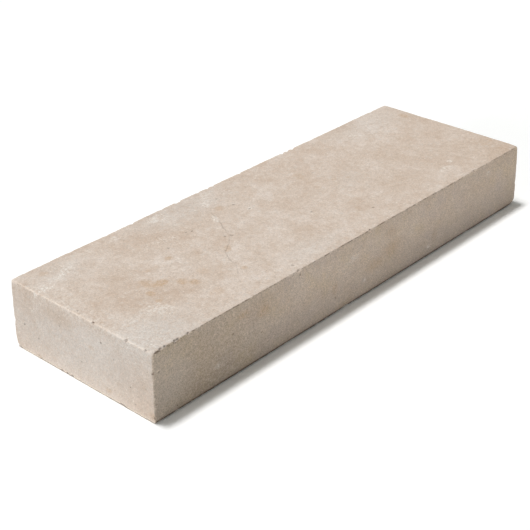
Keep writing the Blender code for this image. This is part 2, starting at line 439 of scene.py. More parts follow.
# What stains each face, and the painted light and shade on some faces, the wide patches first and the spots
# over them
TREAD_PATCHES = (
    Patch(Tint.GREY, (-0.560, -0.160, TREAD), (0.130, 0.080, 0.05), 0.75),
    Patch(Tint.GREY, (-0.170, 0.160, TREAD), (0.170, 0.060, 0.05), 0.50),
    Patch(Tint.GREY, (-0.520, 0.150, TREAD), (0.080, 0.050, 0.05), 0.35),
    Patch(Tint.GREY, (0.470, 0.150, TREAD), (0.170, 0.060, 0.05), 0.35),
    Patch(Tint.GREY, (0.190, -0.010, TREAD), (0.060, 0.030, 0.05), 0.30, 0.6),
    Patch(Tint.GREY, (-0.110, -0.160, TREAD), (0.100, 0.040, 0.05), 0.35),
    # This wide pale patch at the left end and the wide umber patches to the right are partly the stone's
    # tone and partly painted light, the tread brighter at its left than at its right
    Patch(Tint.CALCITE, (-0.620, 0.000, TREAD), (0.100, 0.260, 0.05), 0.28),
    Patch(Tint.UMBER, (0.290, -0.070, TREAD), (0.150, 0.110, 0.05), 0.24),
    Patch(Tint.UMBER, (0.560, -0.150, TREAD), (0.150, 0.120, 0.05), 0.55),
    Patch(Tint.UMBER, (0.560, 0.060, TREAD), (0.100, 0.150, 0.05), 0.20),
    Patch(Tint.UMBER, (-0.460, 0.070, TREAD), (0.120, 0.060, 0.05), 0.20),
    Patch(Tint.OCHRE, (-0.436, -0.014, TREAD), (0.013, 0.022, 0.02), 0.62),
    Patch(Tint.OCHRE, (-0.416, -0.032, TREAD), (0.018, 0.012, 0.02), 0.85),
    Patch(Tint.OCHRE, (-0.386, -0.058, TREAD), (0.010, 0.012, 0.02), 0.82),
    Patch(Tint.OCHRE, (-0.370, -0.078, TREAD), (0.012, 0.012, 0.02), 0.66),
    Patch(Tint.OCHRE, (-0.366, -0.134, TREAD), (0.018, 0.014, 0.02), 0.40),
    Patch(Tint.OCHRE, (-0.458, -0.046, TREAD), (0.009, 0.010, 0.02), 0.75),
    Patch(Tint.OCHRE, (-0.466, -0.077, TREAD), (0.008, 0.007, 0.02), 0.75),
    Patch(Tint.OCHRE, (-0.338, 0.029, TREAD), (0.010, 0.008, 0.02), 0.70),
    Patch(Tint.OCHRE, (-0.330, -0.058, TREAD), (0.012, 0.014, 0.02), 0.40),
    Patch(Tint.OCHRE, (-0.230, -0.032, TREAD), (0.016, 0.009, 0.02), 0.55, 0.6),
    Patch(Tint.OCHRE, (-0.110, 0.106, TREAD), (0.014, 0.012, 0.02), 0.50, -0.5),
    Patch(Tint.OCHRE, (0.126, 0.084, TREAD), (0.014, 0.016, 0.02), 0.35),
    Patch(Tint.OCHRE, (0.572, 0.120, TREAD), (0.012, 0.016, 0.02), 0.70),
    Patch(Tint.OCHRE, (-0.266, -0.112, TREAD), (0.008, 0.007, 0.02), 0.65),
    Patch(Tint.OCHRE, (-0.544, 0.166, TREAD), (0.012, 0.008, 0.02), 0.45),
    Patch(Tint.CALCITE, (-0.154, 0.078, TREAD), (0.008, 0.020, 0.02), 0.55, -0.45),
    Patch(Tint.CALCITE, (-0.522, 0.140, TREAD), (0.052, 0.014, 0.02), 0.60, 0.45),
    Patch(Tint.CALCITE, (-0.584, 0.118, TREAD), (0.024, 0.009, 0.02), 0.75, -0.2),
    Patch(Tint.CALCITE, (0.418, -0.126, TREAD), (0.008, 0.006, 0.02), 0.60),
    Patch(Tint.CALCITE, (0.378, -0.146, TREAD), (0.024, 0.010, 0.02), 0.50),
    Patch(Tint.CALCITE, (-0.492, -0.088, TREAD), (0.032, 0.020, 0.02), 0.36),
    Patch(Tint.CALCITE, (-0.484, -0.110, TREAD), (0.024, 0.022, 0.02), 0.30),
    Patch(Tint.CALCITE, (-0.544, -0.090, TREAD), (0.030, 0.010, 0.02), 0.26),
    Patch(Tint.CALCITE, (-0.350, 0.170, TREAD), (0.014, 0.010, 0.02), 0.60),
    Patch(Tint.CALCITE, (-0.230, 0.172, TREAD), (0.030, 0.016, 0.02), 0.50),
    Patch(Tint.CALCITE, (-0.100, 0.160, TREAD), (0.040, 0.010, 0.02), 0.42, 0.9),
    Patch(Tint.CALCITE, (-0.288, 0.092, TREAD), (0.036, 0.012, 0.02), 0.45, -0.4),
    Patch(Tint.CALCITE, (0.392, 0.132, TREAD), (0.026, 0.006, 0.02), 0.45, -0.8),
    Patch(Tint.CALCITE, (-0.068, 0.059, TREAD), (0.007, 0.005, 0.02), 0.80),
)

END_PATCHES = (
    # Painted bounce light along the end's foot
    Patch(Tint.PEACH, (LEFT_END, 0.000, 0.002), (0.03, 0.300, 0.045), 0.50),
    # The end's wide grey is partly the stone's own grey and partly painted cool light
    Patch(Tint.GREY, (LEFT_END, -0.100, 0.105), (0.03, 0.130, 0.060), 0.45),
    Patch(Tint.GREY, (LEFT_END, 0.050, 0.070), (0.03, 0.240, 0.080), 0.70),
    Patch(Tint.UMBER, (LEFT_END, 0.060, 0.118), (0.03, 0.052, 0.020), 0.45),
    Patch(Tint.UMBER, (LEFT_END, 0.150, 0.100), (0.03, 0.050, 0.018), 0.20),
    Patch(Tint.OCHRE, (LEFT_END, -0.034, 0.093), (0.02, 0.010, 0.007), 0.40),
    Patch(Tint.OCHRE, (LEFT_END, -0.078, 0.018), (0.02, 0.012, 0.008), 0.60),
    Patch(Tint.OCHRE, (LEFT_END, 0.128, 0.004), (0.02, 0.012, 0.006), 0.50),
    Patch(Tint.OCHRE, (LEFT_END, -0.194, 0.016), (0.02, 0.010, 0.008), 0.60),
    Patch(Tint.CALCITE, (LEFT_END, 0.135, 0.106), (0.02, 0.009, 0.007), 0.45),
)

RISER_PATCHES = (
    # Painted shade on the riser's left part and at its left foot
    Patch(Tint.SHADE, (-0.510, RISER, 0.070), (0.290, 0.05, 0.170), 0.58),
    Patch(Tint.SHADE, (-0.420, RISER, 0.000), (0.200, 0.05, 0.050), 0.32),
    # Painted cool shade along the riser's foot
    Patch(Tint.MAUVE, (0.300, RISER, 0.016), (0.330, 0.05, 0.052), 0.38),
    Patch(Tint.MAUVE, (-0.200, RISER, 0.030), (0.140, 0.05, 0.040), 0.30),
    Patch(Tint.GREY, (-0.560, RISER, 0.060), (0.060, 0.05, 0.080), 0.25),
    Patch(Tint.UMBER, (0.080, RISER, 0.090), (0.130, 0.05, 0.060), 0.10),
    Patch(Tint.UMBER, (-0.330, RISER, 0.115), (0.090, 0.05, 0.030), 0.35),
    Patch(Tint.OCHRE, (-0.363, RISER, 0.122), (0.020, 0.02, 0.012), 0.56),
    Patch(Tint.OCHRE, (-0.308, RISER, 0.106), (0.020, 0.02, 0.014), 0.56),
    Patch(Tint.OCHRE, (0.100, RISER, 0.115), (0.024, 0.02, 0.018), 0.40),
    Patch(Tint.OCHRE, (0.100, RISER, 0.080), (0.040, 0.02, 0.020), 0.51),
    Patch(Tint.OCHRE, (0.045, RISER, 0.060), (0.036, 0.02, 0.018), 0.51),
    Patch(Tint.OCHRE, (-0.090, RISER, 0.060), (0.012, 0.02, 0.016), 0.51),
    Patch(Tint.UMBER, (0.262, RISER, 0.048), (0.014, 0.02, 0.026), 0.50),
    Patch(Tint.CALCITE, (-0.438, RISER, 0.045), (0.010, 0.02, 0.006), 0.70),
    Patch(Tint.CALCITE, (0.006, RISER, 0.037), (0.010, 0.02, 0.007), 0.60),
    Patch(Tint.CALCITE, (0.240, RISER, 0.023), (0.010, 0.02, 0.006), 0.60),
    Patch(Tint.CALCITE, (0.470, RISER, 0.123), (0.008, 0.02, 0.006), 0.60),
    Patch(Tint.CALCITE, (-0.033, RISER, 0.107), (0.024, 0.02, 0.014), 0.35),
)

# Flecks that all of the stone has
FLECKS = (
    Flecks(Tint.UMBER, 14 * MM, 0.62, 0.45, 0.30, 110 * MM, 7.9),
    Flecks(Tint.GREY, 12 * MM, 0.60, 0.50, 0.40, 90 * MM, 4.1),
    Flecks(Tint.OCHRE, 26 * MM, 0.40, 0.22, 0.35, 180 * MM, 9.2),
    Flecks(Tint.CALCITE, 7 * MM, 0.50, 0.35, 0.50, 120 * MM, 1.3),
    Flecks(Tint.SOIL, 8 * MM, 0.20, 0.30, 0.60, 100 * MM, 5.6),
    Flecks(Tint.SHADE, 5 * MM, 0.42, 0.24, 0.46, 70 * MM, 2.4),
    Flecks(Tint.CALCITE, 4.5 * MM, 0.40, 0.30, 0.38, 60 * MM, 6.1),
)


@dataclass(frozen=True)
class TumbledRelief:
    """What tumbling leaves on a sawn block, all of it cut inwards, in metres. Pit depths are in radii."""

    smoothing_passes: int = 2
    dish_depth: float = 0.35 * MM
    dish_size: float = 95 * MM
    arris_reach: float = 6 * MM
    crumble_depth: float = 0.9 * MM
    crumble_size: float = 7 * MM
    bite_depth: float = 1.4 * MM
    bite_spacing: float = 11 * MM
    bite_share: float = 0.45
    chip_depth: float = 2.0 * MM
    chip_spacing: float = 30 * MM
    chip_share: float = 0.30
    pore_depth: float = 0.9 * MM
    pore_spacing: float = 17 * MM
    pore_share: float = 0.16
    pit_depth: float = 0.42
    break_size: float = 9 * MM
    break_depth: float = 1.5 * MM
    fissure_depth: float = 0.6 * MM
    fissure_width: float = 1.7 * MM
    seed: float = 3.7

    def settings(self) -> dict[str, float]:
        """Names each size as the tree's inputs name it."""
        return {name.replace("_", " ").title(): value for name, value in asdict(self).items()}

    def tree(self) -> Tree:
        """Builds the Geometry Nodes tree that cuts the relief into a fine mesh.

        Returns:
            The tree, with inputs for the sizes, the block's middle and half size, its marks and its stone.
        """
        tree = bpy.data.node_groups.new("tumbled_relief", "GeometryNodeTree")
        sockets = {name: "NodeSocketFloat" for name in self.settings()}
        sockets["Smoothing Passes"] = "NodeSocketInt"
        sockets |= {"Middle": "NodeSocketVector", "Half Size": "NodeSocketVector"}
        sockets |= {"Fissure": "NodeSocketObject", "Pits": "NodeSocketObject"}
        sockets["Stone"] = "NodeSocketMaterial"
        tree.interface.new_socket("Mesh", in_out="INPUT", socket_type="NodeSocketGeometry")
        for name, kind in sockets.items():
            tree.interface.new_socket(name, in_out="INPUT", socket_type=kind)
        tree.interface.new_socket("Mesh", in_out="OUTPUT", socket_type="NodeSocketGeometry")
        given = add(tree, "NodeGroupInput")

        place = add(tree, "GeometryNodeInputPosition")[0]
        passes = {"Value": place, "Iterations": given["Smoothing Passes"]}
        blurred = add(tree, "GeometryNodeBlurAttribute", passes, data_type="FLOAT_VECTOR")[0]
        moved = self.knocked(tree, place, given)
        broken = add(tree, "GeometryNodeSetPosition", {0: given["Mesh"], "Offset": moved})[0]
        soft = add(tree, "GeometryNodeSetPosition", {0: broken, "Position": blurred})[0]
        fissure = self.fissure(tree, place, given)
        stored = {0: soft, "Name": "fissure", "Value": fissure}
        kept = add(tree, "GeometryNodeStoreNamedAttribute", stored, data_type="FLOAT", domain="POINT")[0]
        depth = self.depth(tree, place, given, fissure)
        normal = add(tree, "GeometryNodeInputNormal")[0]
        lift = add(tree, Kind.TIMES, (depth, -1.0))[0]
        inward = add(tree, Kind.SCALED, {0: normal, "Scale": lift})[0]
        cut = add(tree, "GeometryNodeSetPosition", {0: kept, "Offset": inward})[0]
        real = add(tree, "GeometryNodeRealizeInstances", (cut,))[0]
        dressed = add(tree, "GeometryNodeSetMaterial", {0: real, "Material": given["Stone"]})[0]
        add(tree, "NodeGroupOutput", (dressed,))
        return tree

    @staticmethod
    def knocked(tree: Tree, place: Socket, given: Sockets) -> Socket:
        """Moves what stands out of the knocked corners back to their rough breaks.

        Args:
            tree: The relief's tree.
            place: The position that it reads.
            given: The tree's inputs.

        Returns:
            How a point moves.
        """
        rough = noise(tree, place, given["Break Size"], given["Seed"], detail=3.0, roughness=0.7)[0]
        rough = add(tree, Kind.TIMES, (rough, given["Break Depth"]))[0]
        total = (0.0, 0.0, 0.0)
        for knock in KNOCKED_CORNERS:
            looks = Vector(knock.looks).normalized()
            off = add(tree, Kind.VECTOR_MINUS, (place, knock.corner))[0]
            over = add(tree, Kind.DOT, (off, looks))["Value"]
            over = add(tree, Kind.PLUS, (over, knock.depth))[0]
            over = add(tree, Kind.PLUS, (over, rough))[0]
            over = add(tree, Kind.MOST, (over, 0.0))[0]
            back = add(tree, Kind.SCALED, {0: -looks, "Scale": over})[0]
            total = add(tree, Kind.VECTOR_PLUS, (back, total))[0]
        return total

    def depth(self, tree: Tree, place: Socket, given: Sockets, fissure: Socket) -> Socket:
        """Adds up how deep the relief is cut at a point.

        Args:
            tree: The relief's tree.
            place: The position that it reads.
            given: The tree's inputs.
            fissure: The fissure's share of its depth.

        Returns:
            The depth, in metres.
        """
        seed = given["Seed"]
        near = near_arris(tree, place, given["Middle"], given["Half Size"], given["Arris Reach"])
        dish = noise(tree, place, given["Dish Size"], seed, detail=1.0)[0]
        dish = add(tree, Kind.EASED, (dish, 0.25, 0.75))[0]
        crumble = noise(tree, place, given["Crumble Size"], seed, detail=3.0, roughness=0.7)[0]
        crumble = add(tree, Kind.EASED, (crumble, 0.35, 0.7))[0]
        bites = scattered(tree, place, given["Bite Spacing"], given["Bite Share"], fill=0.55, seed=3.1)
        chips = scattered(tree, place, given["Chip Spacing"], given["Chip Share"], fill=0.30, seed=6.3)
        pores = scattered(tree, place, given["Pore Spacing"], given["Pore Share"], PORE_FILL, PORE_SEED)
        pit, pit_radius = self.pit(tree, place, given)
        crumble, bites, chips = (add(tree, Kind.TIMES, (wear, near))[0] for wear in (crumble, bites, chips))
        pit_depth = add(tree, Kind.TIMES, (pit_radius, given["Pit Depth"]))[0]
        cuts = (
            (dish, given["Dish Depth"]),
            (crumble, given["Crumble Depth"]),
            (bites, given["Bite Depth"]),
            (chips, given["Chip Depth"]),
            (pores, given["Pore Depth"]),
            (fissure, given["Fissure Depth"]),
            (pit, pit_depth),
        )
        total = 0.0
        for share, most in cuts:
            total = add(tree, Kind.TIMES_PLUS, (share, most, total))[0]
        return total

    @staticmethod
    def fissure(tree: Tree, place: Socket, given: Sockets) -> Socket:
        """Follows the fissure's path, which wavers by up to 4 mm to each side.

        Args:
            tree: The relief's tree.
            place: The position that it reads.
            given: The tree's inputs.

        Returns:
            The depth of the fissure at a point, from 0 to 1.
        """
        path = add(tree, "GeometryNodeObjectInfo", {"Object": given["Fissure"]})["Geometry"]
        waver = noise(tree, place, 14 * MM, seed=2.2, detail=3.0)[1]
        sway = Vector((4 * MM, 4 * MM, 0.0))
        moved = add(tree, Kind.VECTOR_TIMES_PLUS, (waver, 2 * sway, place))[0]
        centred = add(tree, Kind.VECTOR_MINUS, (moved, sway))[0]
        here = {0: path, "Sample Position": centred}
        away = add(tree, "GeometryNodeProximity", here, target_element="EDGES")["Distance"]
        broken = noise(tree, place, 30 * MM, seed=5.1)[0]
        broken = add(tree, Kind.EASED, (broken, 0.35, 0.60, 0.15, 1.0))[0]
        line = add(tree, Kind.EASED, (away, 0.0, given["Fissure Width"], 1.0, 0.0))[0]
        return add(tree, Kind.TIMES, (line, broken))[0]

    @staticmethod
    def sharpness(tree: Tree) -> Socket:
        """Says how much more a chip takes off an arris than off a flat.

        Args:
            tree: The relief's tree.

        Returns:
            1 on a flat, 2 on an arris.
        """
        normal = add(tree, "GeometryNodeInputNormal")[0]
        size = add(tree, Kind.VECTOR_SIZE, (normal,))[0]
        x, y, z = add(tree, "ShaderNodeSeparateXYZ", (size,))
        most = add(tree, Kind.MOST, (x, y))[0]
        most = add(tree, Kind.MOST, (most, z))[0]
        return add(tree, Kind.POWER, (most, -2.0))[0]

    def pit(self, tree: Tree, place: Socket, given: Sockets) -> tuple[Socket, Socket]:
        """Reads the nearest of the larger pits.

        Args:
            tree: The relief's tree.
            place: The position that it reads.
            given: The tree's inputs.

        Returns:
            The share of the pit's depth at a point, and the pit's radius.
        """
        points = add(tree, "GeometryNodeObjectInfo", {"Object": given["Pits"]})["Geometry"]
        here = {0: points, "Sample Position": place}
        away = add(tree, "GeometryNodeProximity", here, target_element="POINTS")["Distance"]
        nearest = add(tree, "GeometryNodeSampleNearest", here, domain="POINT")[0]
        radii = add(tree, "GeometryNodeInputNamedAttribute", {"Name": "radius"}, data_type="FLOAT")[0]
        picked = {0: points, "Value": radii, "Index": nearest}
        radius = add(tree, "GeometryNodeSampleIndex", picked, data_type="FLOAT", domain="POINT")[0]
        inside = add(tree, Kind.EASED, (away, 0.0, radius, 1.0, 0.0))[0]
        return add(tree, Kind.TIMES, (inside, self.sharpness(tree)))[0], radius


# Sawing opens the pores and tumbling rubs the surface, so the stone looks dry and chalky, with no shine.
# Its real grain is under a millimetre, too fine to show in the render, so it is drawn coarser
@dataclass(frozen=True)
class TumbledLimestone:
    """Beige limestone, sawn and then tumbled: matt, granular, clouded, with stained and opened pores."""

    name: str = "tumbled_limestone"
    dark: str = "C7B19F"
    middle: str = "D2C1B3"
    pale: str = "DFD2C8"
    cloud_size: float = 130 * MM
    vein_size: float = 90 * MM
    mottle_size: float = 70 * MM
    patch_rag_size: float = 20 * MM
    patch_grain_size: float = 6 * MM
    grain_size: float = 2.6 * MM
    grain_contrast: float = 0.68
    riser_grain_and_shading: float = 1.34
    broken_arris: tuple[float, float] = (-0.56, -0.45)
    edge_wobble: float = 18 * MM
    pit_wobble: float = 6 * MM
    riser_shade_lean: float = 0.55
    straw_lean: float = 0.48
    ash_lean: float = 0.60
    fleck_gain: float = 1.6
    arris_shade: float = 0.80
    chip_soil_and_shade: float = 0.90
    arris_highlight: float = 0.65
    pore_stain: float = 0.45
    fissure_stain: float = 0.32
    pit_darkening: float = 0.64
    nick_soil_and_shade: float = 0.80
    roughness: float = 0.85
    specular: float = 0.3
    bump_size: float = 4 * MM
    bump_height: float = 0.75 * MM

    def material(self) -> bpy.types.Material:
        """Builds the stone's material.

        Returns:
            The material.
        """
        made = bpy.data.materials.new(self.name)
        made.use_nodes = True
        tree = made.node_tree
        shader = tree.nodes["Principled BSDF"]
        place = add(tree, "ShaderNodeTexCoord")["Object"]
        x, y, _ = add(tree, "ShaderNodeSeparateXYZ", (place,))
        end = add(tree, Kind.EASED, (x, LEFT_END + 1 * MM, LEFT_END + 3 * MM, 1.0, 0.0))[0]
        riser = add(tree, Kind.EASED, (y, RISER + 1 * MM, RISER + 3 * MM, 1.0, 0.0))[0]
        colour = self.clouded(tree, place)
        colour, cool = self.patched(tree, place, colour, TREAD_PATCHES, 1.0)
        colour, _ = self.patched(tree, place, colour, END_PATCHES, end)
        for flecks in FLECKS:
            colour = self.flecked(tree, place, colour, flecks, cool)
        colour = self.veined(tree, place, colour)
        # Painted warm shade: the riser leans to a warmer, more even colour
        colour = self.tinted(tree, colour, Tint.RISER, riser, self.riser_shade_lean)
        colour = self.mottled(tree, place, colour, riser)
        colour, _ = self.patched(tree, place, colour, RISER_PATCHES, riser)
        colour = self.edged(tree, place, colour, end, riser)
        colour = self.grained(tree, place, colour, riser)
        colour = self.opened(tree, place, colour)
        tree.links.new(colour, shader.inputs["Base Color"])
        shader.inputs["Roughness"].default_value = self.roughness
        shader.inputs["Specular IOR Level"].default_value = self.specular
        tree.links.new(self.bumped(tree, place), shader.inputs["Normal"])
        return made

    @staticmethod
    def tinted(tree: Tree, colour: Socket, tint: Tint, share: Value, *others: Value) -> Socket:
        """Leans a colour to a tint.

        Args:
            tree: The stone's tree.
            colour: The colour so far.
            tint: The tint.
            share: How far to lean, from 0 to 1.
            others: Values that the share is multiplied by.

        Returns:
            The new colour.
        """
        for other in others:
            share = add(tree, Kind.TIMES, (share, other))[0]
        mixed = {"Factor": share, 6: colour, 7: linear(tint.value)}
        return add(tree, "ShaderNodeMix", mixed, data_type="RGBA")[2]

    def clouded(self, tree: Tree, place: Socket) -> Socket:
        """Mixes the stone's beige, as strongly at a few millimetres as at a hand's width.

        Args:
            tree: The stone's tree.
            place: The position that it reads.

        Returns:
            The colour.
        """
        field = noise(tree, place, self.cloud_size, seed=0.6, detail=6.0, roughness=0.95)[0]
        colour = add(tree, "ShaderNodeValToRGB", (field,))[0]
        stops = colour.node.color_ramp.elements
        stops[0].position = 0.36
        stops[0].color = linear(self.dark)
        stops[1].position = 0.64
        stops[1].color = linear(self.pale)
        stops.new(0.50).color = linear(self.middle)
        return colour

    def patched(
        self, tree: Tree, place: Socket, colour: Socket, patches: tuple[Patch, ...], face: Value
    ) -> tuple[Socket, Socket]:
        """Adds a face's patches, broken up by the stone's grain.

        Args:
            tree: The stone's tree.
            place: The position that they read.
            colour: The colour so far.
            patches: The patches.
            face: 1 on the face that they are kept to.

        Returns:
            The new colour, and how cool and grey the stone is.
        """
        moved = shaken(tree, place, self.patch_rag_size, 1.9, 5.0, 0.75, self.edge_wobble)
        grain = noise(tree, place, self.patch_grain_size, seed=7.4, detail=3.0, roughness=0.8)[0]
        clouds = add(tree, Kind.EASED, (grain, 0.36, 0.60, 0.35, 1.0))[0]
        clouds = add(tree, Kind.TIMES, (clouds, face))[0]
        specks = add(tree, Kind.EASED, (grain, 0.46, 0.60, 0.10, 1.30))[0]
        specks = add(tree, Kind.TIMES, (specks, face))[0]
        cool = 0.0
        for patch in patches:
            inside = self.inside(tree, moved, patch)
            broken = specks if patch.tint is Tint.CALCITE else clouds
            share = add(tree, Kind.TIMES, (inside, broken))[0]
            colour = self.tinted(tree, colour, patch.tint, share)
            if patch.tint is Tint.GREY:
                cool = add(tree, Kind.PLUS, (cool, share))[0]
        return colour, cool

    @staticmethod
    def inside(tree: Tree, place: Socket, patch: Patch) -> Socket:
        """Finds how far a point is inside a patch. Only a turned one takes the dearer Mapping node.

        Args:
            tree: The stone's tree.
            place: The position that it reads, made irregular.
            patch: The patch.

        Returns:
            Its strength there.
        """
        if patch.turn:
            turn = (0.0, 0.0, patch.turn)
            own = {"Vector": place, "Location": patch.place, "Rotation": turn, "Scale": patch.reach}
            off = add(tree, "ShaderNodeMapping", own, vector_type="TEXTURE")[0]
        else:
            scale = tuple(1 / reach for reach in patch.reach)
            shift = tuple(-middle / reach for middle, reach in zip(patch.place, patch.reach))
            off = add(tree, Kind.VECTOR_TIMES_PLUS, (place, scale, shift))[0]
        away = add(tree, Kind.LENGTH, (off,))["Value"]
        return add(tree, Kind.EASED, (away, patch.rim, 1.25, patch.strength, 0.0))[0]

    def flecked(self, tree: Tree, place: Socket, colour: Socket, flecks: Flecks, cool: Socket) -> Socket:
        """Adds flecks, which gather in zones, the pale ones also where the stone is cool.

        Args:
            tree: The stone's tree.
            place: The position that they read.
            colour: The colour so far.
            flecks: The flecks.
            cool: How cool and grey the stone is.

        Returns:
            The new colour.
        """
        spots = scattered(tree, place, flecks.spacing, flecks.share, flecks.fill, flecks.seed)
        zone = noise(tree, place, flecks.zone, flecks.seed)[0]
        zone = add(tree, Kind.EASED, (zone, 0.42, 0.60, 0.12, 0.8))[0]
        if flecks.tint in (Tint.CALCITE, Tint.GREY):
            zone = add(tree, Kind.PLUS, (zone, cool))[0]
        return self.tinted(tree, colour, flecks.tint, spots, zone, flecks.strength * self.fleck_gain)

    def veined(self, tree: Tree, place: Socket, colour: Socket) -> Socket:
        """Adds thin pale veins, most of them in the left half.

        Args:
            tree: The stone's tree.
            place: The position that they read.
            colour: The colour so far.

        Returns:
            The new colour.
        """
        field = noise(tree, place, self.vein_size, seed=2.8, detail=6.0, roughness=0.68)[0]
        off = add(tree, Kind.MINUS, (field, 0.5))[0]
        size = add(tree, Kind.SIZE, (off,))[0]
        line = add(tree, Kind.EASED, (size, 0.0, 0.014, 1.0, 0.0))[0]
        x, _, _ = add(tree, "ShaderNodeSeparateXYZ", (place,))
        left = add(tree, Kind.EASED, (x, LEFT_END, 0.5, 0.42, 0.06))[0]
        broken = noise(tree, place, 60 * MM, seed=6.5, detail=3.0)[0]
        broken = add(tree, Kind.EASED, (broken, 0.46, 0.62))[0]
        return self.tinted(tree, colour, Tint.VEIN, line, left, broken)

    def mottled(self, tree: Tree, place: Socket, colour: Socket, riser: Socket) -> Socket:
        """Leans the riser to straw in some parts and to ash in others.

        Args:
            tree: The stone's tree.
            place: The position that it reads.
            colour: The colour so far.
            riser: 1 on the riser.

        Returns:
            The new colour.
        """
        field = noise(tree, place, self.mottle_size, seed=6.8, detail=4.0, roughness=0.75)[0]
        straw = add(tree, Kind.EASED, (field, 0.50, 0.66))[0]
        straw = add(tree, Kind.TIMES, (straw, riser))[0]
        ash = add(tree, Kind.EASED, (field, 0.34, 0.50, 1.0, 0.0))[0]
        ash = add(tree, Kind.TIMES, (ash, riser))[0]
        colour = self.tinted(tree, colour, Tint.STRAW, straw, self.straw_lean)
        return self.tinted(tree, colour, Tint.ASH, ash, self.ash_lean)

    def edged(self, tree: Tree, place: Socket, colour: Socket, end: Socket, riser: Socket) -> Socket:
        """Darkens the riser to its foot as painted shade, puts soil and painted shade on its arrises and
        paints light on the left end's arrises.

        The riser's upper arris is broken further down near the left corner, up to broken_arris along X.

        Args:
            tree: The stone's tree.
            place: The position that it reads.
            colour: The colour so far.
            end: 1 on the left end.
            riser: 1 on the riser.

        Returns:
            The new colour.
        """
        x, _, height = add(tree, "ShaderNodeSeparateXYZ", (place,))
        # Painted shade: the riser darkens towards its foot
        foot = add(tree, Kind.EASED, (height, 30 * MM, 115 * MM, 1.0, 0.0))[0]
        foot = add(tree, Kind.TIMES, (riser, foot))[0]
        darker = {"Factor": foot, 6: colour, 7: linear(Tint.FOOT.value)}
        colour = add(tree, "ShaderNodeMix", darker, data_type="RGBA", blend_type="MULTIPLY")[2]
        broken = noise(tree, place, 25 * MM, seed=8.3, detail=4.0, roughness=0.8)[0]
        broken = add(tree, Kind.EASED, (broken, 0.40, 0.58, 0.25, 1.0))[0]
        # Along the upper arris: a painted shade line on the riser and a painted highlight on the left end
        top = add(tree, Kind.EASED, (height, TREAD - 3 * MM, TREAD - 1 * MM))[0]
        top = add(tree, Kind.TIMES, (top, broken))[0]
        # Along the foot: painted contact shadow on the riser and painted bounce light on the left end
        sole = add(tree, Kind.EASED, (height, 2.5 * MM, 7 * MM, 1.0, 0.0))[0]
        # Near the left corner the riser's upper arris is chipped, with soil and painted shade
        chipped = noise(tree, place, 12 * MM, seed=5.9, detail=4.0, roughness=0.8)[0]
        chipped = add(tree, Kind.EASED, (chipped, 0.44, 0.56))[0]
        left = add(tree, Kind.EASED, (x, *self.broken_arris, 1.0, 0.0))[0]
        chips = add(tree, Kind.TIMES, (left, chipped))[0]
        chips = add(tree, Kind.TIMES, (chips, self.chip_soil_and_shade))[0]
        upper = add(tree, Kind.EASED, (height, TREAD - 6 * MM, TREAD - 2.5 * MM))[0]
        chips = add(tree, Kind.TIMES, (upper, chips))[0]
        soil_and_shade = add(tree, Kind.TIMES, (top, self.arris_shade))[0]
        soil_and_shade = add(tree, Kind.MOST, (soil_and_shade, chips))[0]
        soil_and_shade = add(tree, Kind.PLUS, (soil_and_shade, sole))[0]
        colour = self.tinted(tree, colour, Tint.SOIL, soil_and_shade, riser)
        # Painted highlight on the left end's upper arris and painted bounce light at its foot
        arris_light = add(tree, Kind.TIMES, (top, self.arris_highlight))[0]
        arris_light = add(tree, Kind.PLUS, (arris_light, sole))[0]
        return self.tinted(tree, colour, Tint.RUBBED, arris_light, end)

    def grained(self, tree: Tree, place: Socket, colour: Socket, riser: Socket) -> Socket:
        """Adds the fine grain, stronger on the riser, where the extra is painted shading of its relief.

        Args:
            tree: The stone's tree.
            place: The position that it reads.
            colour: The colour so far.
            riser: 1 on the riser.

        Returns:
            The new colour.
        """
        grain = noise(tree, place, self.grain_size, seed=3.3, detail=1.5, roughness=0.8)[0]
        off = add(tree, Kind.MINUS, (grain, 0.5))[0]
        # On the riser the grain is stronger, as painted shading of its relief under grazing light
        levels = (riser, 0.0, 1.0, self.grain_contrast, self.riser_grain_and_shading)
        contrast = add(tree, Kind.EASED, levels)[0]
        light = add(tree, Kind.TIMES_PLUS, (off, contrast, 1.0))[0]
        even = add(tree, "ShaderNodeCombineColor", (light, light, light))[0]
        mixed = {"Factor": 1.0, 6: colour, 7: even}
        return add(tree, "ShaderNodeMix", mixed, data_type="RGBA", blend_type="MULTIPLY")[2]

    def opened(self, tree: Tree, place: Socket, colour: Socket) -> Socket:
        """Darkens the stone in its pores, its pits, its nicks and its fissure.

        Args:
            tree: The stone's tree.
            place: The position that they read.
            colour: The colour so far.

        Returns:
            The new colour.
        """
        relief = TumbledRelief()
        pores = scattered(tree, place, relief.pore_spacing, relief.pore_share, PORE_FILL, PORE_SEED)
        colour = self.tinted(tree, colour, Tint.SOIL, pores, self.pore_stain)
        fissure = add(tree, "ShaderNodeAttribute", attribute_name="fissure")["Fac"]
        colour = self.tinted(tree, colour, Tint.SOIL, fissure, self.fissure_stain)
        moved = shaken(tree, place, 5 * MM, 7.7, 2.0, 0.6, self.pit_wobble)
        # The pits are painted darker
        pits = self.hollow(tree, moved, (*TREAD_PITS, *END_PITS, *RISER_PITS))
        colour = self.tinted(tree, colour, Tint.HOLLOW, pits, self.pit_darkening)
        # The nicks get soil and painted shade
        nicks = self.hollow(tree, moved, ARRIS_NICKS)
        return self.tinted(tree, colour, Tint.SOIL, nicks, self.nick_soil_and_shade)

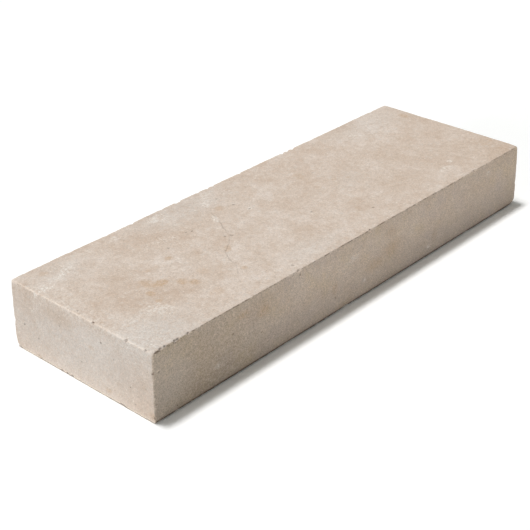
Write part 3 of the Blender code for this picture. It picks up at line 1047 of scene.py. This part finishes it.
    @staticmethod
    def hollow(tree: Tree, place: Socket, pits: tuple[Pit, ...]) -> Socket:
        """Finds how far a point is inside the nearest of some pits.

        Args:
            tree: The stone's tree.
            place: The position that it reads, made irregular.
            pits: The pits.

        Returns:
            1 in a pit's middle, down to 0 at its rim.
        """
        nearest = 2.0
        for pit in pits:
            away = add(tree, Kind.DISTANCE, (place, pit.place))["Value"]
            radii = add(tree, Kind.TIMES, (away, 1 / pit.radius))[0]
            nearest = add(tree, Kind.LEAST, (radii, nearest))[0]
        return add(tree, Kind.EASED, (nearest, 0.20, 1.20, 1.0, 0.0))[0]

    def bumped(self, tree: Tree, place: Socket) -> Socket:
        """Adds the sandy feel of the worn surface.

        Args:
            tree: The stone's tree.
            place: The position that it reads.

        Returns:
            The normal.
        """
        grain = noise(tree, place, self.bump_size, seed=4.4, detail=3.0, roughness=0.7)[0]
        bump = {"Strength": 1.0, "Distance": self.bump_height, "Height": grain}
        return add(tree, "ShaderNodeBump", bump)[0]


@dataclass(frozen=True)
class StoneBlock:
    """The block: the frame's solid, remeshed finely and given the relief of worn stone. Sizes in metres."""

    name: str = "worn_block"
    voxel: float = 1.5 * MM
    most_triangles: int = 194000
    weld: float = 0.001 * MM
    flat_weight: int = 50

    def build(self, finish: TumbledLimestone, relief: TumbledRelief) -> bpy.types.Object:
        """Builds the block.

        Args:
            finish: Its stone.
            relief: Its relief.

        Returns:
            The finished piece, on its body.
        """
        stone = finish.material()
        rough = new_object("rough_block", self.remeshed())
        guides = (self.fissure_guide(), self.pit_guide())
        worn = self.worn(rough, relief, stone, guides)
        piece = new_object(self.name, self.thinned(worn))
        for helper in (rough, *guides):
            bpy.data.objects.remove(helper)
        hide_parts(CAD_NODE)
        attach(piece, BODY)
        return piece

    def remeshed(self) -> bpy.types.Mesh:
        """Copies the frame's solid and remeshes it into fine even squares.

        Returns:
            The fine mesh, still smooth.
        """
        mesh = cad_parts[CAD_NODE].data.copy()
        merged = bmesh.new()
        merged.from_mesh(mesh)
        bmesh.ops.remove_doubles(merged, verts=merged.verts, dist=self.weld)
        merged.to_mesh(mesh)
        merged.free()
        solid = new_object("solid_block", mesh)
        remesh = solid.modifiers.new("fine_squares", "REMESH")
        remesh.mode = "VOXEL"
        remesh.voxel_size = self.voxel
        fine = baked(solid, "fine_block")
        bpy.data.objects.remove(solid)
        return fine

    @staticmethod
    def fissure_guide() -> bpy.types.Object:
        """Draws the fissure's path on the tread as a line of edges.

        Returns:
            The helper object with the line.
        """
        mesh = bpy.data.meshes.new("fissure_path")
        points = [(x, y, TREAD) for x, y in FISSURE_PATH]
        mesh.from_pydata(points, [(i, i + 1) for i in range(len(points) - 1)], [])
        return new_object("fissure_path", mesh)

    @staticmethod
    def pit_guide() -> bpy.types.Object:
        """Marks the larger pits, the nicks and the chips as points that hold their radius.

        Returns:
            The helper object with the points.
        """
        mesh = bpy.data.meshes.new("pit_places")
        pits = (*TREAD_PITS, *END_PITS, *RISER_PITS, *ARRIS_NICKS, *CLEAN_CHIPS)
        mesh.from_pydata([pit.place for pit in pits], [], [])
        mesh.attributes.new("radius", "FLOAT", "POINT")
        mesh.attributes["radius"].data.foreach_set("value", [pit.radius for pit in pits])
        return new_object("pit_places", mesh)

    @staticmethod
    def worn(
        rough: bpy.types.Object,
        relief: TumbledRelief,
        stone: bpy.types.Material,
        guides: tuple[bpy.types.Object, bpy.types.Object],
    ) -> bpy.types.Mesh:
        """Cuts the relief into the fine mesh.

        Args:
            rough: The fine, smooth block.
            relief: The relief's sizes.
            stone: Its material.
            guides: The fissure's path and the pits' places.

        Returns:
            The worn mesh.
        """
        low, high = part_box(CAD_NODE)
        values = relief.settings()
        values["Middle"] = (low + high) / 2
        values["Half Size"] = (high - low) / 2
        values["Fissure"], values["Pits"] = guides
        values["Stone"] = stone
        cutting = rough.modifiers.new("relief", "NODES")
        cutting.node_group = relief.tree()
        for item in cutting.node_group.interface.items_tree:
            if item.in_out == "INPUT" and item.name in values:
                cutting[item.identifier] = values[item.name]
        return baked(rough, "worn_fine_block")

    def thinned(self, mesh: bpy.types.Mesh) -> bpy.types.Mesh:
        """Spends the triangles where the surface bends, and keeps the flats' shading off the arrises.

        Args:
            mesh: The worn mesh.

        Returns:
            The mesh with at most the set count of triangles.
        """
        mesh.shade_smooth()
        fine = new_object("fine_worn_block", mesh)
        triangles = sum(len(polygon.vertices) - 2 for polygon in mesh.polygons)
        thin = fine.modifiers.new("thin_flats", "DECIMATE")
        thin.ratio = self.most_triangles / triangles
        thin.use_collapse_triangulate = True
        fine.modifiers.new("crisp_arrises", "WEIGHTED_NORMAL").weight = self.flat_weight
        done = baked(fine, self.name)
        bpy.data.objects.remove(fine)
        return done


@dataclass(frozen=True)
class SunLamp:
    """A far lamp: where it stands and how wide it looks, in degrees, and its light on a facing surface."""

    name: str
    azimuth: float
    elevation: float
    width: float
    light: float


@dataclass(frozen=True)
class Studio:
    """The white floor and its soft light. A light of 1 shows a facing surface in its own colour."""

    floor_reach: float = 20.0
    bounce: float = 0.90
    floor_boost: float = 1.19
    sky: float = 0.19
    sky_colour: str = "FAFFF8"
    lamps: tuple[SunLamp, ...] = (
        SunLamp("key", 101.0, 79.1, 8.0, 0.51),
        SunLamp("key_left", 129.0, 76.0, 11.0, 0.23),
        SunLamp("left_fill", 180.0, 12.0, 20.0, 0.31),
        SunLamp("riser_fill", 262.0, 9.0, 16.0, 0.07),
    )

    def build(self) -> None:
        """Sets up the floor, the world and the lamps."""
        self.floor()
        self.world()
        for lamp in self.lamps:
            self.lamp(lamp)

    def floor(self) -> None:
        """Lays the floor. The camera sees it brighter than it lights the stone, so that it shows white."""
        mesh = bpy.data.meshes.new("floor")
        grown = bmesh.new()
        bmesh.ops.create_grid(grown, x_segments=1, y_segments=1, size=self.floor_reach)
        grown.to_mesh(mesh)
        grown.free()
        # A roll of white paper, quite matt and too even for any grain to show
        paper = bpy.data.materials.new("white_paper")
        paper.use_nodes = True
        tree = paper.node_tree
        tree.nodes.clear()
        seen = self.seen(tree)
        bounce, shown = self.bounce, self.bounce * self.floor_boost
        plain = add(tree, "ShaderNodeBsdfDiffuse", {"Color": (bounce, bounce, bounce, 1.0)})[0]
        bright = add(tree, "ShaderNodeBsdfDiffuse", {"Color": (shown, shown, shown, 1.0)})[0]
        mixed = add(tree, "ShaderNodeMixShader", (seen, plain, bright))[0]
        add(tree, "ShaderNodeOutputMaterial", (mixed,))
        mesh.materials.append(paper)
        new_object("floor", mesh)

    @staticmethod
    def seen(tree: Tree) -> Socket:
        """Finds what the camera sees, directly, in a reflection or through glass.

        Args:
            tree: The tree.

        Returns:
            1 where it does.
        """
        path = add(tree, "ShaderNodeLightPath")
        direct, glossy, through = (path[f"Is {kind} Ray"] for kind in ("Camera", "Glossy", "Transmission"))
        either = add(tree, Kind.MOST, (direct, glossy))[0]
        return add(tree, Kind.MOST, (either, through))[0]

    def world(self) -> None:
        """Sets a dim, even sky, which the camera sees as white."""
        world = bpy.data.worlds.new("studio_sky")
        bpy.context.scene.world = world
        world.use_nodes = True
        tree = world.node_tree
        tree.nodes.clear()
        dim = add(tree, "ShaderNodeBackground", (linear(self.sky_colour), self.sky))[0]
        white = add(tree, "ShaderNodeBackground", (linear("FFFFFF"), 1.0))[0]
        mixed = add(tree, "ShaderNodeMixShader", (self.seen(tree), dim, white))[0]
        add(tree, "ShaderNodeOutputWorld", (mixed,))

    @staticmethod
    def lamp(lamp: SunLamp) -> None:
        """Hangs a lamp.

        Args:
            lamp: Its settings.
        """
        data = bpy.data.lights.new(lamp.name, "SUN")
        data.energy = math.pi * lamp.light
        data.angle = math.radians(lamp.width)
        hung = bpy.data.objects.new(lamp.name, data)
        tilt = math.radians(90 - lamp.elevation)
        turn = math.radians(lamp.azimuth + 90)
        hung.matrix_world = Matrix.Rotation(turn, 4, "Z") @ Matrix.Rotation(tilt, 4, "X")
        bpy.context.scene.collection.objects.link(hung)


@dataclass(frozen=True)
class PhotoCamera:
    """The camera at the photograph's viewing angle: metres and degrees, the lens in millimetres."""

    place: Triple = (-1.9035, -1.6535, 1.4033)
    turn: Triple = (66.793, 0.424, -47.996)
    lens: float = 88.27
    sensor: float = 36.0
    shift_up: float = -0.25

    def build(self) -> None:
        """Sets up the camera."""
        data = bpy.data.cameras.new("photo_camera")
        data.lens = self.lens
        data.sensor_width = self.sensor
        data.shift_y = self.shift_up
        held = bpy.data.objects.new("photo_camera", data)
        held.location = self.place
        held.rotation_euler = [math.radians(angle) for angle in self.turn]
        bpy.context.scene.collection.objects.link(held)
        bpy.context.scene.camera = held


def main() -> None:
    """Builds the scene and reports its pieces."""
    logging.basicConfig(level=logging.INFO, format="%(message)s")
    piece = StoneBlock().build(TumbledLimestone(), TumbledRelief())
    LOG.info("%s: %d triangles", piece.name, len(piece.data.polygons))
    Studio().build()
    PhotoCamera().build()
    bpy.context.scene.view_settings.view_transform = "Standard"


if __name__ == "__main__":
    main()
